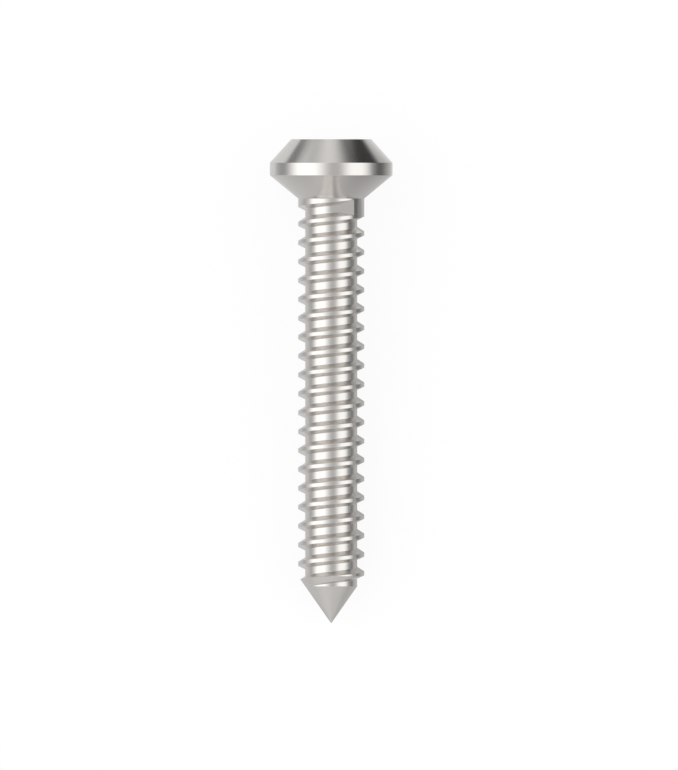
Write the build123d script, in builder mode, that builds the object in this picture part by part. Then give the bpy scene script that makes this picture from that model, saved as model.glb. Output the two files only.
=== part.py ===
from build123d import *
from math import atan2, ceil, degrees, floor, radians, tan
import os

# Bone screw, turned from one bar: double-bevelled head with a hexagon socket,
# fully threaded shaft and a plain pointed tip.
# All distances along the screw are measured down from the flat face of the head.

# Head
face_diameter = 4.25
head_diameter = 6.5
bevel_height = 1.25
band_height = 0.665
underside_height = 1.225

# Thread and tip
thread_diameter = 3.5
core_diameter = 2.75
pitch = 1.0
crest_width = 0.20
head_side_flank = 32.0
tip_side_flank = 25.0
thread_length = 20.0
tip_length = 2.5

# End of the groove under the head
first_crest = 4.235
runout_angle = 5.4
runout_foot = 4.15
groove_end_angle = 57.0

# Hexagon socket for the driver
hex_across_flats = 2.5
hex_depth = 2.0
drill_point_angle = 120.0
mouth_diameter = 3.1

# Stations down the screw
band_top = bevel_height
band_bottom = band_top + band_height
thread_start = band_bottom + underside_height
thread_end = thread_start + thread_length
screw_length = thread_end + tip_length

thread_radius = thread_diameter / 2
core_radius = core_diameter / 2
thread_depth = thread_radius - core_radius

# The cutter reaches past the thread outside and below the core inside
outer_reach = 0.1
inner_reach = 0.04
cutter_outer = thread_radius + outer_reach
cutter_inner = core_radius - inner_reach
head_side_slope = tan(radians(head_side_flank))
tip_side_slope = tan(radians(tip_side_flank))

# Groove edges at the thread diameter, from the crest below the groove
lower_edge = crest_width / 2
upper_edge = pitch - crest_width / 2

# The groove is followed up from beyond the end of the core to its run-out
groove_top = first_crest - pitch / 2 - pitch * groove_end_angle / 360
groove_turns = ceil((thread_end + pitch - groove_top) / pitch)
groove_bottom = groove_top + groove_turns * pitch

# One turn of the helical groove, with the core as its floor, cut from the +X axis
with BuildPart() as groove_turn:
    with BuildLine() as groove_path:
        Helix(pitch, pitch, core_radius, center=(0, 0, -groove_bottom))
    with BuildSketch(Plane.XZ) as groove_section:
        with BuildLine():
            outer_rise = outer_reach * tip_side_slope
            outer_drop = outer_reach * head_side_slope
            inner_rise = (thread_depth + inner_reach) * tip_side_slope
            inner_drop = (thread_depth + inner_reach) * head_side_slope
            crest = -groove_bottom - pitch / 2
            Polyline(
                (cutter_outer, crest + lower_edge - outer_drop),
                (cutter_outer, crest + upper_edge + outer_rise),
                (cutter_inner, crest + upper_edge - inner_rise),
                (cutter_inner, crest + lower_edge + inner_drop),
                close=True,
            )
        make_face()
    sweep(path=groove_path.line, is_frenet=True)
    with BuildSketch(Plane.XY.offset(-groove_bottom - 2 * pitch).rotated((0, 0, 180))):
        Circle(core_radius)
    extrude(amount=4 * pitch, mode=Mode.SUBTRACT)

# Last turn under the head: its floor runs out on a flat at a tangent to the core
with BuildPart() as last_turn:
    with Locations((0, 0, (groove_turns - 1) * pitch)):
        add(groove_turn.part)
    flat_turn = 90 - groove_end_angle + runout_angle
    flat_sweep = groove_end_angle + 5 - runout_angle
    flat_length = core_radius * tan(radians(flat_sweep))
    with BuildSketch(Plane.XY.offset(-runout_foot).rotated((0, 0, flat_turn))):
        with BuildLine():
            Polyline(
                (0, 0),
                (0, -core_radius),
                (flat_length, -core_radius),
                close=True,
            )
        make_face()
    extrude(amount=2 * pitch, mode=Mode.SUBTRACT)

# The screw standing on its axis, head up, its front facing -Y
front_turn = (0, 0, groove_end_angle - 90)
with BuildPart() as upright:
    with BuildSketch(Plane.XZ.rotated(front_turn)):
        with BuildLine():
            Polyline(
                (0, 0),
                (face_diameter / 2, 0),
                (head_diameter / 2, -band_top),
                (head_diameter / 2, -band_bottom),
                (thread_radius, -thread_start),
                (thread_radius, -thread_end),
                (0, -screw_length),
                close=True,
            )
        make_face()
    revolve(axis=Axis.Z)
    with Locations(*[(0, 0, turn * pitch) for turn in range(groove_turns - 1)]):
        add(groove_turn.part, rotation=front_turn, mode=Mode.SUBTRACT)
    add(last_turn.part, rotation=front_turn, mode=Mode.SUBTRACT)
    # Driver socket: broached hexagon over a drilled pilot hole, with an eased mouth
    with BuildSketch():
        RegularPolygon(hex_across_flats / 2, 6, major_radius=False)
    extrude(amount=-hex_depth, mode=Mode.SUBTRACT)
    with BuildSketch(Plane.XZ):
        with BuildLine():
            pilot_radius = hex_across_flats / 2
            point_height = pilot_radius / tan(radians(drill_point_angle / 2))
            mouth_radius = mouth_diameter / 2
            Polyline(
                (0, 0),
                (mouth_radius, 0),
                (pilot_radius, -(mouth_radius - pilot_radius)),
                (pilot_radius, -hex_depth),
                (0, -hex_depth - point_height),
                close=True,
            )
        make_face()
    revolve(axis=Axis.Z, mode=Mode.SUBTRACT)

# The screw rests on the lower rim of its head and on the last whole crest below
crests_to_end = floor((thread_end - first_crest) / pitch + 1 / 2)
rest_station = first_crest + (crests_to_end - 1 / 2) * pitch + crest_width / 2
rest_drop = head_diameter / 2 - thread_radius
rest_tilt = degrees(atan2(rest_drop, rest_station - band_bottom))

# Laid down on its side, head towards +Y, the front of the groove end upward
with BuildPart() as bone_screw:
    with Locations(Location((0, 0, 0), (rest_tilt - 90, 0, 0))):
        add(upright.part)

os.makedirs("parts", exist_ok=True)
bone_screw.part.label = "bone_screw"
export_step(bone_screw.part, "parts/bone_screw.step")
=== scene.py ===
import math

import bpy
import numpy as np
from mathutils import Matrix, Vector


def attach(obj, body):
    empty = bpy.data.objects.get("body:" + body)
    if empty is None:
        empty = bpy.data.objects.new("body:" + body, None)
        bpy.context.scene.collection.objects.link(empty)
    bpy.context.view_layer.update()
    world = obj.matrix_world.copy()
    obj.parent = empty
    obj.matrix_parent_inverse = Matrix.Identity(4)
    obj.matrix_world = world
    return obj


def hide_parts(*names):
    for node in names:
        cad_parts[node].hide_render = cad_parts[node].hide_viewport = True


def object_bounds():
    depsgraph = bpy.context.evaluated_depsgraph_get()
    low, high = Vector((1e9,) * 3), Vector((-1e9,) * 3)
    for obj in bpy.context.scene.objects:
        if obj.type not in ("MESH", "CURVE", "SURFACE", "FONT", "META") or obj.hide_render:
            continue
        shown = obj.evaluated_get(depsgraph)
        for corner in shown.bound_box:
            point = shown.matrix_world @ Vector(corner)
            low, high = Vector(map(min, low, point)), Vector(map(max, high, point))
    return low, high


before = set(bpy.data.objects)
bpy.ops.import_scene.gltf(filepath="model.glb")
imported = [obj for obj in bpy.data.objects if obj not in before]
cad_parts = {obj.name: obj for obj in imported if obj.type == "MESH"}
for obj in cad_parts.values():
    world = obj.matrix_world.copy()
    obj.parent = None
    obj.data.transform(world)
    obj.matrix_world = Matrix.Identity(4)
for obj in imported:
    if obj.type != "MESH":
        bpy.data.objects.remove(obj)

solid_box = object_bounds()

# How the screw lies
# It rests on the lower rim of its head and on the last whole crest of its
# thread, so its axis drops a little towards the tip.
mm = 0.001
rim_over_crest, rim_to_crest = 1.5, 20.92
rest_tilt = math.atan2(rim_over_crest, rim_to_crest)
to_head = Vector((0, math.cos(rest_tilt), math.sin(rest_tilt)))
to_front = Vector((0, -math.sin(rest_tilt), math.cos(rest_tilt)))
to_right = Vector((1, 0, 0))
floor_level = solid_box[0].z

# Camera
# A long lens looks straight down on the lying screw, square to its axis, with
# the head at the top of the picture.
view_height = 40.771 * mm
view_middle = to_right * 0.413 * mm - to_head * 13.015 * mm
camera_distance = 0.3
camera = bpy.data.objects.new("camera", bpy.data.cameras.new("camera"))
camera.data.type = "ORTHO"
camera.data.ortho_scale = view_height
camera.data.clip_start = 0.01
camera.data.clip_end = 2
camera.matrix_world = Matrix.Translation(view_middle + to_front * camera_distance) @ Matrix(
    (to_right, to_head, to_front)
).transposed().to_4x4()
bpy.context.scene.collection.objects.link(camera)
bpy.context.scene.camera = camera
bpy.context.scene.view_settings.view_transform = "Standard"


# Floor
# A plain white sheet under the screw. It is lit evenly to white, and keeps a
# part of its own shading so that the screw's shadow stays on it.
class Wire:
    """A value in a finish; sums and products of wires add Math nodes."""

    def __init__(self, tree, socket):
        self.tree, self.socket = tree, socket

    @staticmethod
    def node(tree, kind, settings=None, sockets=None, output=0):
        """Adds a node: its settings or ramp stops first, then its sockets."""
        made = tree.nodes.new(kind)
        for name, value in (settings or {}).items():
            if name == "stops":
                stops = made.color_ramp.elements
                while len(stops) < len(value):
                    stops.new(1)
                for stop, (place, colour) in zip(stops, value):
                    stop.position, stop.color = place, (*colour, 1)
            else:
                setattr(made, name, value)
        for name, value in (sockets or {}).items():
            if isinstance(value, Wire):
                tree.links.new(value.socket, made.inputs[name])
            else:
                made.inputs[name].default_value = value
        return Wire(tree, made.outputs[output]) if made.outputs else None

    def out(self, name):
        """Another output of the same node."""
        return Wire(self.tree, self.socket.node.outputs[name])

    def math(self, operation, *values):
        """A Math node on these values; any of them may be a number."""
        settings = {"operation": operation}
        return Wire.node(self.tree, "ShaderNodeMath", settings, dict(enumerate(values)))

    def __add__(self, other):
        return self.math("ADD", self, other)

    def __sub__(self, other):
        return self.math("SUBTRACT", self, other)

    def __rsub__(self, other):
        return self.math("SUBTRACT", other, self)

    def __mul__(self, other):
        return self.math("MULTIPLY", self, other)

    def __pow__(self, other):
        return self.math("POWER", self, other)

    __radd__ = __add__
    __rmul__ = __mul__


def cleared_tree(owner):
    """The emptied node tree of a material or a world."""
    owner.use_nodes = True
    owner.node_tree.nodes.clear()
    return owner.node_tree


sheet_half = 0.6
sheet = bpy.data.meshes.new("floor")
sheet.from_pydata(
    [
        (-sheet_half, -sheet_half, floor_level),
        (sheet_half, -sheet_half, floor_level),
        (sheet_half, sheet_half, floor_level),
        (-sheet_half, sheet_half, floor_level),
    ],
    [],
    [(0, 1, 2, 3)],
)
floor = bpy.data.objects.new("floor", sheet)
bpy.context.scene.collection.objects.link(floor)
paper = bpy.data.materials.new("white_paper")
tree = cleared_tree(paper)
shaded = Wire.node(tree, "ShaderNodeBsdfDiffuse", None, {"Color": (0.78, 0.78, 0.78, 1)})
lit = Wire.node(tree, "ShaderNodeEmission", None, {"Color": (1, 1, 1, 1), "Strength": 1.02})
ray = Wire.node(tree, "ShaderNodeLightPath")
lit_share, lit_share_in_metal = 0.88, 0.3
seen = ray.out("Is Camera Ray") * lit_share + ray.out("Is Transmission Ray") * lit_share
seen = seen + ray.out("Is Glossy Ray") * lit_share_in_metal
surface = Wire.node(tree, "ShaderNodeMixShader", None, {0: seen, 1: shaded, 2: lit})
Wire.node(tree, "ShaderNodeOutputMaterial", None, {"Surface": surface})
sheet.materials.append(paper)

# Light
# Soft light from all round, with a wide lit panel on each side of the camera.
# The panels draw the two bright bands along the polished metal.
world = bpy.data.worlds.new("studio")
bpy.context.scene.world = world
tree = cleared_tree(world)
way = Wire.node(tree, "ShaderNodeTexCoord", None, None, "Generated")


def along(direction):
    """How far a look into the studio goes along a direction, from -1 to 1."""
    return Wire.node(
        tree,
        "ShaderNodeVectorMath",
        {"operation": "DOT_PRODUCT"},
        {0: way, 1: direction},
        "Value",
    )


across, upward, lengthwise = along(to_right), along(to_front), along(to_head)
turn = across.math("ARCTAN2", across, upward) * (180 / math.pi)


def step(value, start, end):
    """Rises smoothly from 0 at start to 1 at end."""
    return Wire.node(
        value.tree,
        "ShaderNodeMapRange",
        {"interpolation_type": "SMOOTHSTEP"},
        {"Value": value, "From Min": start, "From Max": end},
    )


# Strengths of the room and its two panels, and what the far right has less
room, left_light, right_light, right_drop = 0.66, 1.1, 0.92, 0.36
panel_length = 1 - step(lengthwise.math("ABSOLUTE", lengthwise), 0.35, 0.85)
left_panel = step(turn, -94, -62) * (1 - step(turn, -36, 4)) * panel_length
right_panel = step(turn, 12, 40) * (1 - step(turn, 58, 88)) * panel_length
glow = room + left_panel * left_light + right_panel * right_light
glow = glow - step(turn, 70, 92) * right_drop
# A lit patch past the head, and a lit end past the tip, less so at the right
head_light, tip_light, tip_shade = 0.36, 0.24, 0.1
patch_middle = across + 0.05
off_middle = patch_middle.math("ABSOLUTE", patch_middle)
glow = glow + step(lengthwise, 0.85, 1) * (1 - step(off_middle, 0.02, 0.36)) * head_light
towards_tip = lengthwise * -1
glow = glow + step(towards_tip, 0.6, 1) * tip_light
glow = glow - step(towards_tip, 0.6, 0.9) * step(turn, -30, 20) * tip_shade
# A narrow light a little left of the camera, towards the head
narrow_light = 0.8
inner_end = step(lengthwise, 0.28, 0.45) * (1 - step(lengthwise, 0.66, 0.8))
glow = glow + inner_end * step(turn, -30, -14) * (1 - step(turn, -3, 4)) * narrow_light
seen_directly = Wire.node(tree, "ShaderNodeLightPath").out("Is Camera Ray")
glow = glow + (1 - glow) * seen_directly
sky = Wire.node(
    tree, "ShaderNodeBackground", None, {"Color": (1, 1, 1, 1), "Strength": glow}
)
Wire.node(tree, "ShaderNodeOutputWorld", None, {"Surface": sky})


# Grey cards
# Thin cards stand on edge beside the screw and beyond its head, and some lie on the floor. Each
# glows at a set grey rather than being lit, and only the polished metal shows them: the darker
# lines along its sides are painted reflections of them.
def card(
    name,
    corners,
    shade,
    foot=None,
    fade_start=0.01,
    fade_end=0.01,
    foot_end=(0, 0.55),
    fade_top=0.25,
):
    """A card seen in reflections alone, with another shade at its foot and faded edges."""
    board = bpy.data.meshes.new(name)
    board.from_pydata([[v * mm for v in corner] for corner in corners], [], [(0, 1, 2, 3)])
    ruled = board.uv_layers.new(name="UVMap")
    for loop, place_on in zip(ruled.data, ((0, 0), (1, 0), (1, 1), (0, 1))):
        loop.uv = place_on
    made = bpy.data.objects.new(name, board)
    bpy.context.scene.collection.objects.link(made)
    for kind in ("camera", "diffuse", "shadow", "transmission"):
        setattr(made, "visible_" + kind, False)
    grey = bpy.data.materials.new(name)
    tree = cleared_tree(grey)
    ruling = Wire.node(tree, "ShaderNodeTexCoord").out("UV")
    along_it = Wire.node(tree, "ShaderNodeSeparateXYZ", None, {0: ruling})
    up_it = along_it.out("Y")
    foot = shade if foot is None else foot
    # The card's tone is a painted glow at a set strength, not light falling on it
    tone = foot + step(up_it, *foot_end) * (shade - foot)
    toned = Wire.node(
        tree, "ShaderNodeEmission", None, {"Color": (1, 1, 1, 1), "Strength": tone}
    )
    there = step(along_it, 0, fade_start) * (1 - step(along_it, 1 - fade_end, 1))
    there = there * (1 - step(up_it, 1 - fade_top, 1))
    clear = Wire.node(tree, "ShaderNodeBsdfTransparent")
    mixed = Wire.node(tree, "ShaderNodeMixShader", None, {0: there, 1: clear, 2: toned})
    Wire.node(tree, "ShaderNodeOutputMaterial", None, {"Surface": mixed})
    board.materials.append(grey)


low = floor_level / mm
on_floor, over_sheets = low + 0.02, low + 0.03
card(
    "card_head_right",
    [(8.5, 4, low), (8.5, -5.2, low), (8.5, -5.2, 2.8), (8.5, 4, 3.4)],
    shade=0.17,
    foot=0.45,
    fade_end=0.1,
)
card(
    "card_head_left",
    [(-8.5, 4, low), (-8.5, -3, low), (-8.5, -3, 2.8), (-8.5, 4, 3.2)],
    shade=0.45,
    foot=0.7,
)
card(
    "card_right",
    [(9.0, -3, low), (9.0, -42, low), (9.0, -42, -1.8), (9.0, -3, 1.0)],
    shade=0.30,
    fade_end=0.4,
)
card(
    "card_left",
    [(-5.2, -3, low), (-5.2, -38, low), (-5.2, -38, -1.3), (-5.2, -3, 1.2)],
    shade=0.6,
    foot=0.75,
    fade_end=0.4,
    foot_end=(0.25, 0.62),
)
card(
    "card_beyond",
    [(1.0, 4.2, low), (13.0, 4.2, low), (13.0, 8.5, 6.0), (1.0, 8.5, 6.0)],
    shade=0.05,
    foot=0.62,
    fade_start=0.38,
    fade_end=0.25,
    foot_end=(0, 0.2),
)
card(
    "card_corner",
    [(-14.0, 7.0, low), (-2.0, 7.0, low), (-2.0, 7.6, 2.4), (-14.0, 7.6, 2.4)],
    shade=0.62,
    fade_start=0.05,
    fade_end=0.3,
)
card(
    "card_streak",
    [(-11.0, 6.9, low), (-4.8, 6.9, low), (-4.8, 6.9, 1.0), (-11.0, 6.9, 1.0)],
    shade=0.27,
    fade_start=0.4,
    fade_end=0.4,
)
# Grey sheets on the floor give the lower edges of the metal their tone: painted shade on the floor,
# seen only in the metal's reflections
card(
    "card_floor_painted_shade_right",
    [(0, -2.5, on_floor), (0, -42, on_floor), (9.0, -42, on_floor), (9.0, -2.5, on_floor)],
    shade=0.30,
    foot=0.66,
    fade_end=0.4,
    foot_end=(0.4, 1.05),
    fade_top=0.01,
)
card(
    "card_floor_painted_shade_left",
    [(0, -40, on_floor), (0, -2.5, on_floor), (-10.0, -2.5, on_floor), (-10.0, -40, on_floor)],
    shade=0.79,
    foot=0.60,
    fade_start=0.4,
    foot_end=(0.05, 0.35),
)
# A darker sheet under the screw is a painted shadow: the screw's shadow on the floor as the metal
# reflects it
card(
    "card_painted_shadow_under",
    [(0, -23, over_sheets), (3.0, -23, over_sheets), (3.0, -2, over_sheets), (0, -2, over_sheets)],
    shade=0.46,
    fade_start=0.3,
    fade_end=0.3,
    fade_top=0.05,
)
card(
    "card_floor_painted_shade_head",
    [(3.0, 4.2, on_floor), (3.0, -2.5, on_floor), (8.5, -2.5, on_floor), (8.5, 4.2, on_floor)],
    shade=0.50,
    foot=0.90,
    fade_start=0.05,
    foot_end=(0, 1.0),
    fade_top=0.01,
)


# Bone screw
# One piece turned from a bar of implant steel, with a whirled thread and a
# broached hexagon in the head, then polished. The skin is laid out as
# lengthwise strips between sections through the axis.
def place(angle, radius, depth):
    """A point at an angle from the front, to the right, and a depth below the head, in mm."""
    outward = to_front * math.cos(angle) + to_right * math.sin(angle)
    return outward * (radius * mm) - to_head * (depth * mm)


face_radius, head_radius, thread_radius, core_radius = 2.125, 3.25, 1.75, 1.375
bevel_end, band_end, under_end = 1.25, 1.915, 3.14
thread_end, tip_end = 23.14, 25.64
pitch, half_crest = 1.0, 0.10
head_side = math.tan(math.radians(32))
tip_side = math.tan(math.radians(25))
first_crest = 4.235
runout_start = 5.4
crest_ease, root_ease = 0.02, 0.03
# A groove shallower than this has no rows of its own for its flanks
least_groove = 0.02
# The run-out ends in a small step, between the last section and the first
last_section, first_section = 43.58, -316.38
neck_start = under_end + 0.025
tip_point_depth = tip_end - 0.02


def least(a, b, ease):
    """The smaller of two radii, with the corner between them eased."""
    near = np.maximum(ease - np.abs(a - b), 0)
    return np.minimum(a, b) - near * near / (4 * ease)


def floor_radius(angle, below):
    """Radius of the groove's floor; the first groove runs out on a flat."""
    late = np.radians(np.clip(angle - runout_start, 0, 50))
    on_flat = (below < 0) & (angle > runout_start)
    return np.where(on_flat, core_radius / np.cos(late), core_radius)


def eased(ease, floor):
    """The ease of an edge, less where the groove that it borders runs out."""
    return np.minimum(ease, 0.35 * np.maximum(thread_radius - floor, 0.0001))


def threaded_radius(angle, depth):
    """Radius of the threaded shaft at a depth and an angle, in degrees from the front."""
    below = depth - (first_crest - angle / 360 * pitch)
    ridge = np.maximum(np.round(below / pitch), -1)
    off = below - ridge * pitch
    flank = np.where(
        off < 0,
        thread_radius + (off + half_crest) / head_side,
        thread_radius - (off - half_crest) / tip_side,
    )
    flank = np.where((ridge < 0) & (off < 0), thread_radius + 1, flank)
    floor = floor_radius(angle, below)
    flank = least(flank, thread_radius, eased(crest_ease, floor))
    groove = -least(-flank, -floor, eased(root_ease, floor))
    threaded = np.minimum(groove, thread_radius)
    return np.where(below < -pitch + half_crest - 0.05, thread_radius, threaded)


def cone_radius(depth):
    """Radius of the cone that the tip is turned to."""
    return thread_radius * (tip_end - depth) / (tip_end - thread_end)


def skin_radius(angle, depth):
    """Radius of the shaft with its tip turned to a cone."""
    return np.minimum(threaded_radius(angle, depth), cone_radius(depth))


def skin_over(angle, depth):
    """How far the threaded shaft would stand out of the tip's cone."""
    return threaded_radius(angle, depth) - cone_radius(depth)


def rounded(points, eases):
    """A section line with its corners eased by arcs, as runs of ((radius, depth), normal)."""
    runs = []
    before = np.array(points[0], float)
    for here, after, ease in zip(points[1:-1], points[2:], eases):
        here, after = np.array(here, float), np.array(after, float)
        start_way = (here - before) / np.linalg.norm(here - before)
        end_way = (after - here) / np.linalg.norm(after - here)
        start_normal = np.array((start_way[1], -start_way[0]))
        end_normal = np.array((end_way[1], -end_way[0]))
        cross = start_way[0] * end_way[1] - start_way[1] * end_way[0]
        bend = math.acos(np.clip(start_way @ end_way, -1, 1))
        side = 1 if cross > 0 else -1
        arc_start = here - start_way * (ease * math.tan(bend / 2))
        centre = arc_start - start_normal * ease * side
        runs.append([(before, start_normal), (arc_start, start_normal)])
        arc = []
        for k in range(5):
            from_start = start_normal * math.sin(bend * (1 - k / 4))
            turned = (from_start + end_normal * math.sin(bend * k / 4)) / math.sin(bend)
            arc.append((centre + turned * ease * side, turned))
        runs.append(arc)
        before = arc[-1][0]
    last = np.array(points[-1], float)
    runs.append([(before, end_normal), (last, end_normal)])
    return runs


socket_flat, socket_floor, socket_mouth = 1.25, 2.0, 1.55
drill_end = socket_floor + socket_flat / math.tan(math.radians(60))
head_runs = rounded(
    [
        (socket_mouth, 0),
        (face_radius, 0),
        (head_radius, bevel_end),
        (head_radius, band_end),
        (thread_radius, under_end),
        (thread_radius, neck_start),
    ],
    [0.03, 0.03, 0.03, 0.04],
)
# The drive socket's wall follows a hexagon, so its radius changes with the angle
flat_step = math.radians(60)


def socket_radius(angle):
    """Distance of the hexagon's wall from the axis, a flat facing the front."""
    return socket_flat / math.cos((angle + flat_step / 2) % flat_step - flat_step / 2)


# Normals of the drill point, of the ledge round it and of the mouth; the
# wall's rows have none, because they take those of the hexagon's flats
drill_normal = (-math.sin(math.radians(30)), -math.cos(math.radians(30)))
ledge_normal = (0, -1)
mouth_normal = (-math.sqrt(0.5), -math.sqrt(0.5))


def head_rows(angle):
    """Rows of one section from the bottom of the socket to the top of the shaft."""
    wall = socket_radius(angle)
    wall_top = socket_mouth - wall
    drill_edge = (socket_flat, socket_floor)
    drill_middle = (socket_flat / 2, (drill_end + socket_floor) / 2)
    runs = [
        [
            ((0.0, drill_end), drill_normal),
            (drill_middle, drill_normal),
            (drill_edge, drill_normal),
        ],
        [(drill_edge, ledge_normal), ((wall, socket_floor), ledge_normal)],
        [((wall, socket_floor + (wall_top - socket_floor) * k / 4), None) for k in range(5)],
        [((wall, wall_top), mouth_normal), ((socket_mouth, 0), mouth_normal)],
    ]
    return runs + head_runs


every_two_degrees = {float(angle) for angle in range(-314, 44, 2)}
columns = sorted(every_two_degrees | {first_section, runout_start, last_section})
ridges = range(-1, 22)


def ridge_rows(angle, ridge):
    """Rows over one ridge and the groove below it, as offsets from its middle."""
    floor_above, floor_below = (
        float(floor_radius(np.float64(angle), side))
        for side in (ridge + np.array(-0.5), ridge + np.array(0.5))
    )
    above, below = thread_radius - floor_above, thread_radius - floor_below
    rows = []
    if ridge >= 0:
        root = -half_crest - above * head_side
        crest_run = eased(crest_ease, floor_above) * head_side
        root_run = eased(root_ease, floor_above) * head_side
        full = above > least_groove
        if full:
            rows += [("root head side 0", root - root_run)]
        rows += [("root head side 1", root)]
        if full:
            rows += [("root head side 2", root + root_run)]
            rows += [("flank head side", (root - half_crest) / 2)]
            rows += [("edge head side 0", -half_crest - crest_run)]
        rows += [("edge head side 1", -half_crest)]
        rows += [("edge head side 2", -half_crest + crest_run)]
        rows += [("crest", 0.0)]
    root = half_crest + below * tip_side
    crest_run = eased(crest_ease, floor_below) * tip_side
    root_run = eased(root_ease, floor_below) * tip_side
    full = below > least_groove
    rows += [("edge tip side 0", half_crest - crest_run)]
    rows += [("edge tip side 1", half_crest)]
    if full:
        rows += [("edge tip side 2", half_crest + crest_run)]
        rows += [("flank tip side", (root + half_crest) / 2)]
        rows += [("root tip side 0", root - root_run)]
    rows += [("root tip side 1", root)]
    if full:
        rows += [("root tip side 2", root + root_run)]
    next_root = pitch - half_crest - below * head_side
    rows += [("floor", (root + next_root) / 2)]
    return rows


def shaft_rows(angle):
    """Named rows of one section down the shaft and over the tip."""
    middle = first_crest - angle / 360 * pitch
    rows = []
    first = middle - pitch + half_crest - crest_ease * tip_side
    for k in (1, 2, 3, 4):
        rows.append((("plain", k), neck_start + (first - neck_start) * k / 5))
    for ridge in ridges:
        for name, off in ridge_rows(angle, ridge):
            rows.append(((name, ridge), middle + ridge * pitch + off))
    # Where the thread dips into the cone or comes out of it, found by halving
    look = np.arange(thread_end - 0.1, thread_end + 1.0, 0.002)
    gap = skin_over(angle, look)
    root = half_crest + (thread_radius - core_radius) * tip_side
    crossings = []
    for k in np.nonzero(np.sign(gap[1:]) != np.sign(gap[:-1]))[0]:
        low, high = look[k], look[k + 1]
        for _ in range(30):
            half = (low + high) / 2
            if np.sign(skin_over(angle, half)) == np.sign(gap[k]):
                low = half
            else:
                high = half
        turns = (low - middle) / pitch
        if gap[k] < 0:
            crossings.append((("cut begins", math.ceil(turns - root / pitch)), low))
        else:
            crossings.append((("cut ends", round(turns)), low))
    kept = [row for row in rows if row[1] < thread_end - 0.2 or skin_over(angle, row[1]) < 0]
    cone = [(("cone", k), thread_end + 0.04 + 0.07 * k) for k in range(35)]
    kept += [row for row in cone if skin_over(angle, row[1]) > 0]
    kept = [row for row in kept if all(abs(row[1] - c[1]) > 0.008 for c in crossings)]
    kept = [row for row in kept if row[1] < tip_end - 0.05]
    return sorted(kept + crossings, key=lambda row: row[1])


# Each section's rows, as (name, depth, number of its point)
points = []
strips = []
for angle in columns:
    column = []
    for r, run in enumerate(head_rows(math.radians(angle))):
        for k, ((radius, depth), normal) in enumerate(run):
            if r and k == 0:
                continue
            if radius == 0.0:
                if not points:
                    points.append((radius, depth, angle))
                column.append((("head", r, k), depth, 0))
                continue
            column.append((("head", r, k), depth, len(points)))
            points.append((radius, depth, angle))
    for name, depth in shaft_rows(angle):
        column.append((name, depth, len(points)))
        points.append((float(skin_radius(np.float64(angle), np.float64(depth))), depth, angle))
    strips.append(column)
tip_point = len(points)
points.append((0.0, tip_point_depth, 0.0))
for column in strips:
    column.append((("tip",), tip_point_depth, tip_point))

# Neighbouring sections are joined row by row; a row that one of them lacks
# closes in a triangle
head_gaps = []
for r, run in enumerate(head_rows(0.0)):
    for k in range(len(run) - 1):
        head_gaps.append((r, k))


def join(left, right):
    """Joins two neighbouring sections; gives faces with the gap that each closes."""
    left_at = {row[0]: k for k, row in enumerate(left)}
    right_at = {row[0]: k for k, row in enumerate(right)}
    i = j = 0
    made = []
    while i < len(left) - 1 or j < len(right) - 1:
        can_left, can_right = i < len(left) - 1, j < len(right) - 1
        if can_left and can_right and left[i + 1][0] == right[j + 1][0]:
            made.append(((left[i][2], left[i + 1][2], right[j + 1][2], right[j][2]), max(i, j)))
            i, j = i + 1, j + 1
            continue
        wait_left = can_left and right_at.get(left[i + 1][0], -1) > j
        wait_right = can_right and left_at.get(right[j + 1][0], -1) > i
        if can_left and can_right and wait_left == wait_right:
            go_left = left[i + 1][1] < right[j + 1][1]
        else:
            go_left = can_left and (not can_right or wait_right)
        if go_left:
            made.append(((left[i][2], left[i + 1][2], right[j][2]), max(i, j)))
            i += 1
        else:
            made.append(((left[i][2], right[j + 1][2], right[j][2]), max(i, j)))
            j += 1
    return made


def at_seam(column):
    """The first section's rows, named as the last section's rows beside them."""
    renamed = []
    for name, depth, point in column:
        if name[0] == "plain":
            name = ("plain beside", name[1])
        elif name[0] not in ("head", "cone", "tip"):
            name = (name[0], name[1] + 1)
        renamed.append((name, depth, point))
    return renamed


joined = []
for k, column in enumerate(strips):
    last_one = k == len(strips) - 1
    right = at_seam(strips[0]) if last_one else strips[k + 1]
    right_angle = columns[0] + 360 if last_one else columns[k + 1]
    for corners, gap in join(column, right):
        if len(set(corners)) < len(corners):
            corners = tuple(dict.fromkeys(corners))
        joined.append((corners, gap, columns[k], right_angle))

# Normals come from the form itself, so that the polish shows no facets
spots = np.array(points)
corner_points, corner_angle, corner_face = [], [], []
for f, (corners, gap, left_angle, right_angle) in enumerate(joined):
    for c in corners:
        corner_points.append(c)
        corner_face.append(f)
        angle = spots[c, 2]
        if c in (0, tip_point):
            angle = (left_angle + right_angle) / 2
        elif angle < left_angle - 1:
            angle += 360
        corner_angle.append(angle)
corner_points = np.array(corner_points)
corner_face = np.array(corner_face)
corner_angle = np.array(corner_angle)
corner_depth = spots[corner_points, 1]
count = np.bincount(corner_face)
face_angle = np.bincount(corner_face, corner_angle) / count
face_depth = np.bincount(corner_face, corner_depth) / count
# The slope at a corner is taken a little inside its face, so that a sharp
# edge keeps a normal of its own on either side
inside = 0.05
inner_angle = corner_angle + inside * (face_angle[corner_face] - corner_angle)
inner_depth = corner_depth + inside * (face_depth[corner_face] - corner_depth)
small_turn, small_drop = 0.002, 0.0001
radius = skin_radius(inner_angle, inner_depth)
turned_radius = skin_radius(inner_angle + small_turn, inner_depth)
dropped_radius = skin_radius(inner_angle, inner_depth + small_drop)
by_turn = (turned_radius - radius) / math.radians(small_turn)
by_drop = (dropped_radius - radius) / small_drop
outward, sideways, downward = np.ones(len(radius)), -by_turn / np.maximum(radius, 1e-4), -by_drop
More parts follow.
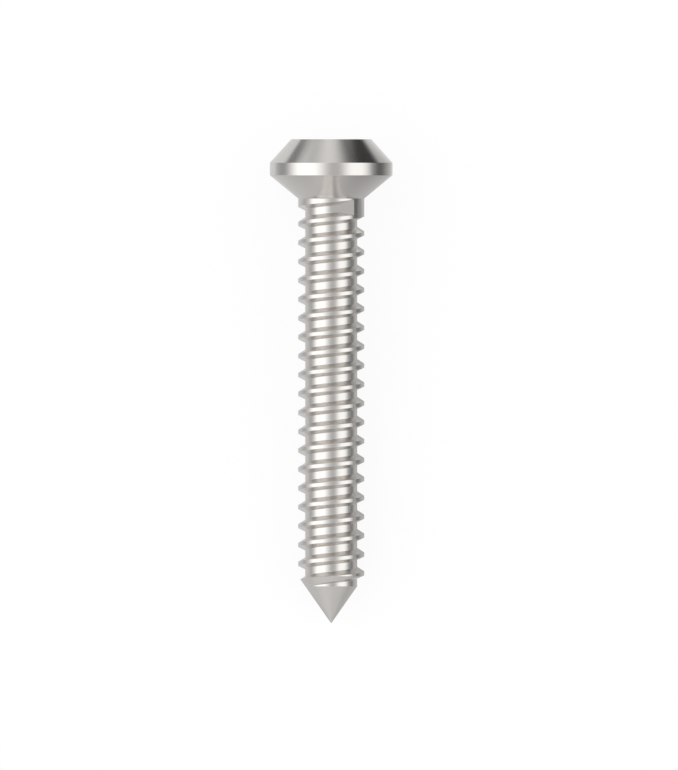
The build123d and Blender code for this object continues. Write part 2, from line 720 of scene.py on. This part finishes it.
# The head's rows have normals of their own, and the socket's wall six flats
rows = head_rows(0.0)
first_corner = np.concatenate(([0], np.cumsum(count)[:-1]))
for f, (corners, gap, left_angle, right_angle) in enumerate(joined):
    if gap >= len(head_gaps):
        continue
    r, k = head_gaps[gap]
    upper, lower = rows[r][k], rows[r][k + 1]
    middle = (left_angle + right_angle) / 2
    for n, c in enumerate(corners):
        at = first_corner[f] + n
        if upper[1] is None:
            flat = 60 * round(middle / 60)
            off = math.radians(flat - corner_angle[at])
            outward[at], sideways[at], downward[at] = -math.cos(off), -math.sin(off), 0
            continue
        from_upper = abs(spots[c, 1] - upper[0][1]) + abs(spots[c, 0] - upper[0][0])
        from_lower = abs(spots[c, 1] - lower[0][1]) + abs(spots[c, 0] - lower[0][0])
        chosen = upper[1] if from_upper < from_lower else lower[1]
        outward[at], sideways[at], downward[at] = chosen[0], 0, chosen[1]
tip_corners = corner_points == tip_point
outward[tip_corners], sideways[tip_corners], downward[tip_corners] = 0, 0, 1
swing = np.radians(corner_angle)
front, right_way, head_way = np.array(to_front), np.array(to_right), np.array(to_head)
radial = np.outer(np.cos(swing), front) + np.outer(np.sin(swing), right_way)
tangent = np.outer(np.cos(swing), right_way) - np.outer(np.sin(swing), front)
normals = outward[:, None] * radial + sideways[:, None] * tangent - np.outer(downward, head_way)
normals /= np.linalg.norm(normals, axis=1)[:, None]

skin = bpy.data.meshes.new("screw")
skin.from_pydata(
    [place(math.radians(a), r, d) for r, d, a in points],
    [],
    [corners for corners, gap, left_angle, right_angle in joined],
)
skin.polygons.foreach_set("use_smooth", [True] * len(skin.polygons))
skin.normals_split_custom_set(normals.tolist())
screw = bpy.data.objects.new("screw", skin)
bpy.context.scene.collection.objects.link(screw)
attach(screw, "root")
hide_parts("bone_screw")

steel = bpy.data.materials.new("polished_implant_steel")
tree = cleared_tree(steel)
spot = Wire.node(tree, "ShaderNodeTexCoord").out("Object")
depth = Wire.node(
    tree, "ShaderNodeVectorMath", {"operation": "DOT_PRODUCT"}, {0: spot, 1: -to_head / mm}, "Value"
)
slope = Wire.node(
    tree,
    "ShaderNodeVectorMath",
    {"operation": "DOT_PRODUCT"},
    {0: Wire.node(tree, "ShaderNodeTexCoord").out("Normal"), 1: to_head},
    "Value",
)
steep = slope.math("ABSOLUTE", slope)
from_origin = Wire.node(
    tree, "ShaderNodeVectorMath", {"operation": "LENGTH"}, {0: spot}, "Value"
)
square = from_origin * from_origin * (1 / mm**2) - depth * depth
from_axis = square.math("MAXIMUM", square, 0) ** 0.5
# The thread's flanks get a lighter grey: painted light, lifting the shade that falls between the
# ridges
painted_light_flanks = step(steep, 0.79, 0.83) * (1 - step(from_axis, 1.72, 1.76)) * step(from_axis, 1.37, 1.42)
painted_light_flanks = painted_light_flanks * step(depth, 3.05, 3.12)
polish_low, polish_high = (0.60, 0.583, 0.562, 1), (0.625, 0.607, 0.585, 1)
# A lighter grey paints light into the thread's flanks, and a darker one paints shade onto the seat
# under the head
flank_painted_light_grey, seat_painted_shade_grey = (0.74, 0.715, 0.69, 1), (0.575, 0.557, 0.537, 1)
stain = Wire.node(
    tree, "ShaderNodeTexNoise", None, {"Vector": spot, "Scale": 900, "Detail": 3}
)
polished = Wire.node(
    tree,
    "ShaderNodeMix",
    {"data_type": "RGBA"},
    {0: stain, 6: polish_low, 7: polish_high},
    2,
)
colour = Wire.node(
    tree,
    "ShaderNodeMix",
    {"data_type": "RGBA"},
    {0: painted_light_flanks, 6: polished, 7: flank_painted_light_grey},
    2,
)
facing_tip = slope * -1
# The seat under the head gets a darker grey, painted shade under the head, and a little less
# roughness
seat_painted_shade = step(facing_tip, 0.70, 0.74) * step(from_axis, 1.76, 1.80)
colour = Wire.node(
    tree,
    "ShaderNodeMix",
    {"data_type": "RGBA"},
    {0: seat_painted_shade, 6: colour, 7: seat_painted_shade_grey},
    2,
)
# The flat top, the socket and the tip are left as machined, a little duller
faced = step(slope, 0.93, 0.97)
in_socket = (1 - step(from_axis, 1.52, 1.56)) * (1 - step(depth, 2.75, 2.85))
dull = faced.math("MAXIMUM", faced, in_socket)
pointed = step(facing_tip, 0.50, 0.54) * (1 - step(facing_tip, 0.62, 0.68))
pointed = pointed * step(depth, 23.10, 23.16)
roughness = 0.17 + stain * 0.06 - seat_painted_shade * 0.05 + dull * 0.17 + painted_light_flanks * 0.02
roughness = roughness + pointed * 0.16
# Fine rings from turning, and lines down the broached walls of the socket
rings = Wire.node(
    tree,
    "ShaderNodeTexNoise",
    {"noise_dimensions": "1D"},
    {"W": depth + from_axis * 0.8, "Scale": 13, "Detail": 2},
)
across_socket = Wire.node(
    tree, "ShaderNodeVectorMath", {"operation": "DOT_PRODUCT"}, {0: spot, 1: to_right / mm}, "Value"
)
broached = Wire.node(
    tree,
    "ShaderNodeTexNoise",
    {"noise_dimensions": "1D"},
    {"W": across_socket, "Scale": 11, "Detail": 2},
)
marks = rings * (1 + dull) + broached * in_socket * 2
mark_height = 0.0008 * mm
relief = Wire.node(
    tree,
    "ShaderNodeBump",
    None,
    {"Strength": 1.0, "Distance": mark_height, "Height": marks},
    "Normal",
)
steel_finish = Wire.node(
    tree,
    "ShaderNodeBsdfPrincipled",
    None,
    {"Base Color": colour, "Metallic": 1.0, "Roughness": roughness, "Normal": relief},
)
Wire.node(tree, "ShaderNodeOutputMaterial", None, {"Surface": steel_finish})
skin.materials.append(steel)
